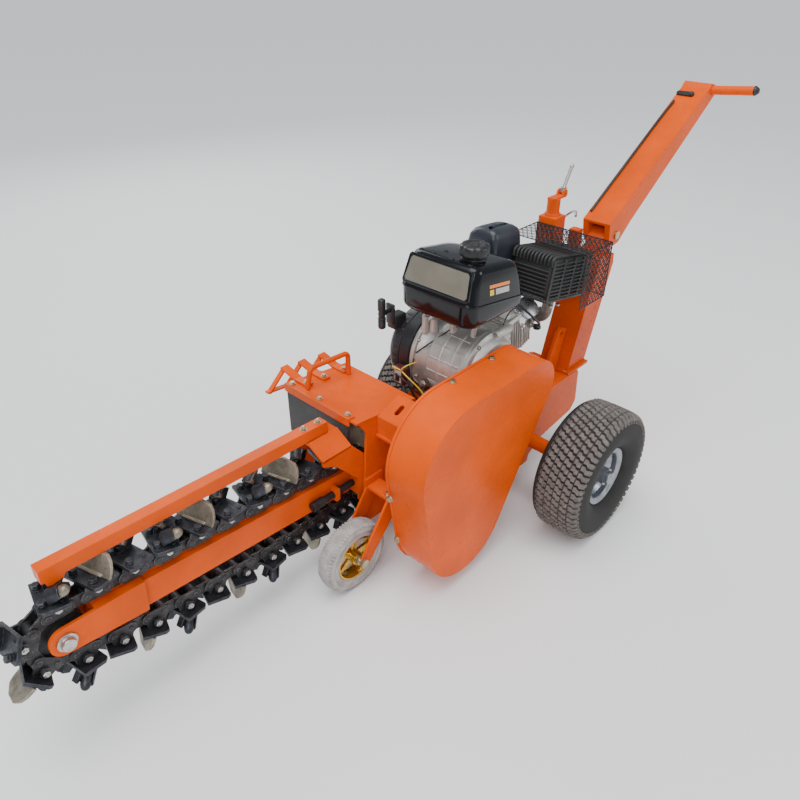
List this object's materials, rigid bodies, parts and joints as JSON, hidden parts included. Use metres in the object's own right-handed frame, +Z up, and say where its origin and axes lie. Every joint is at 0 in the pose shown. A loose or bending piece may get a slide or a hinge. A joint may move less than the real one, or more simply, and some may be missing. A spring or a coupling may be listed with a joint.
{
  "type": "trencher",
  "caption": "Walk-behind chain trencher: petrol engine on a wheeled frame drives a cutter chain round a pivoting boom, with a folding handle arm.",
  "frame": {"origin": "middle of the whole machine box, on the ground", "axes": "+X from the boom tip towards the handle, +Y towards the recoil starter side, +Z up"},
  "size_m": [2.285, 0.7508, 1.056],
  "materials": {
    "orange_paint": "gloss orange enamel",
    "column_paint": "gloss orange enamel, slightly darker",
    "chain_steel": "black oxide steel, worn edges",
    "cutter_steel": "worn tan steel",
    "bright_steel": "bright zinc",
    "black_steel": "black",
    "rubber_sheet": "matte",
    "turf_rubber": "dusty",
    "grey_rubber": "grey",
    "silver_rim": "silver paint",
    "gold_rim": "yellow zinc",
    "cast_aluminium": "as cast",
    "black_gloss": "gloss",
    "black_plastic": "satin",
    "blue_black": "satin",
    "guard_black": "matte black",
    "switch_red": "maroon",
    "wire_cover": "black and yellow",
    "belt_rubber": "matte"
  },
  "bodies": {
    "chassis": {"chassis_frame": "orange_paint", "head_housing": "orange_paint", "deck_plate": "orange_paint", "deck_clamp_strip": "orange_paint", "rubber_flap": "rubber_sheet", "deck_handle": "orange_paint", "auger_guard": "orange_paint", "slot_bracket": "orange_paint", "belt_guard": "orange_paint", "guard_back_plate": "orange_paint", "frame_bolts": "bright_steel", "column": "column_paint", "wheel_fork": "orange_paint", "rear_axle": "orange_paint", "crankcase": "cast_aluminium", "cylinder": "cast_aluminium", "fuel_tank": "black_gloss", "air_cleaner": "blue_black", "muffler": "guard_black", "mesh_guard": "guard_black", "recoil_housing": "black_plastic", "switch_box": "switch_red", "ignition_wires": "wire_cover", "hand_pump": "orange_paint", "hydraulic_pipe": "bright_steel", "shaft_bearings": "bright_steel", "v_belts": "belt_rubber", "drive_chain": "chain_steel"},
    "boom": {"boom_mount": "orange_paint", "boom_beam": "orange_paint", "boom_tip": "orange_paint", "nose_bolt": "bright_steel", "tension_bolt": "black_steel", "digging_chain": "chain_steel", "cutter_bases": "chain_steel", "flag_cutters": "cutter_steel", "cup_cutters": "cutter_steel", "restraint_bar": "orange_paint", "restraint_arm": "orange_paint"},
    "nose_roller": {"nose_roller": "black_steel"},
    "head_shaft": {"head_shaft": "bright_steel", "drive_sprocket": "chain_steel", "spoil_auger": "orange_paint", "driven_sprocket": "chain_steel"},
    "jackshaft": {"jack_shaft": "bright_steel", "jack_pulley": "black_steel"},
    "engine_shaft": {"engine_pulley": "black_steel"},
    "near_wheel": {"near_tyre": "turf_rubber", "near_rim": "silver_rim"},
    "far_wheel": {"far_tyre": "turf_rubber", "far_rim": "silver_rim"},
    "front_wheel": {"front_tyre": "grey_rubber", "front_rim": "gold_rim"},
    "handle": {"handle_arm": "orange_paint", "grip_bar": "orange_paint", "throttle_cable": "black_plastic"},
    "throttle": {"throttle_lever": "black_steel"},
    "fuel_cap": {"fuel_cap": "black_plastic"},
    "recoil_grip": {"recoil_handle": "black_plastic"},
    "pump_lever": {"pump_lever": "bright_steel"}
  },
  "joints": [
    {"name": "boom_pivot", "type": "hinge", "parent": "chassis", "child": "boom", "pos_m": [-0.13045, 0.124, 0.232], "axis": [0, 1, 0], "range_deg": [-55, 0]},
    {"name": "head_spin", "type": "hinge", "parent": "chassis", "child": "head_shaft", "pos_m": [-0.13045, 0.124, 0.232], "axis": [0, 1, 0], "continuous": true},
    {"name": "jack_spin", "type": "hinge", "parent": "chassis", "child": "jackshaft", "pos_m": [-0.17545, -0.16, 0.396], "axis": [0, 1, 0], "continuous": true},
    {"name": "engine_spin", "type": "hinge", "parent": "chassis", "child": "engine_shaft", "pos_m": [0.09955, -0.16, 0.465], "axis": [0, 1, 0], "continuous": true},
    {"name": "nose_spin", "type": "hinge", "parent": "boom", "child": "nose_roller", "pos_m": [-1.02136, 0.124, 0.29586], "axis": [0, 1, 0], "continuous": true},
    {"name": "near_wheel_spin", "type": "hinge", "parent": "chassis", "child": "near_wheel", "pos_m": [0.24955, -0.301, 0.1905], "axis": [0, 1, 0], "continuous": true},
    {"name": "far_wheel_spin", "type": "hinge", "parent": "chassis", "child": "far_wheel", "pos_m": [0.24955, 0.301, 0.1905], "axis": [0, 1, 0], "continuous": true},
    {"name": "front_wheel_spin", "type": "hinge", "parent": "chassis", "child": "front_wheel", "pos_m": [-0.36495, 0.005, 0.1], "axis": [0, 1, 0], "continuous": true},
    {"name": "handle_fold", "type": "hinge", "parent": "chassis", "child": "handle", "pos_m": [0.64155, -0.031, 0.698], "axis": [0, -1, 0], "range_deg": [0, 60]},
    {"name": "throttle_turn", "type": "hinge", "parent": "handle", "child": "throttle", "pos_m": [1.06519, -0.034, 1.01804], "axis": [-0.5092, 0, 0.8607], "range_deg": [0, 50]},
    {"name": "fuel_cap_turn", "type": "hinge", "parent": "chassis", "child": "fuel_cap", "pos_m": [0.05255, -0.011, 0.8], "axis": [0, 0, 1], "range_deg": [0, 90]},
    {"name": "recoil_pull", "type": "slide", "parent": "chassis", "child": "recoil_grip", "axis": [-1, 0, 0], "range_m": [0, 0.4], "stiffness_N_per_m": 20},
    {"name": "pump_stroke", "type": "hinge", "parent": "chassis", "child": "pump_lever", "pos_m": [0.59255, 0.09, 0.801], "axis": [0, 1, 0], "range_deg": [-60, 15]}
  ],
  "couplings": [
    {"joint": "jack_spin", "follows": "head_spin", "ratio": 3.3333},
    {"joint": "engine_spin", "follows": "head_spin", "ratio": 9.6296},
    {"joint": "nose_spin", "follows": "head_spin", "ratio": 0.80746}
  ]
}
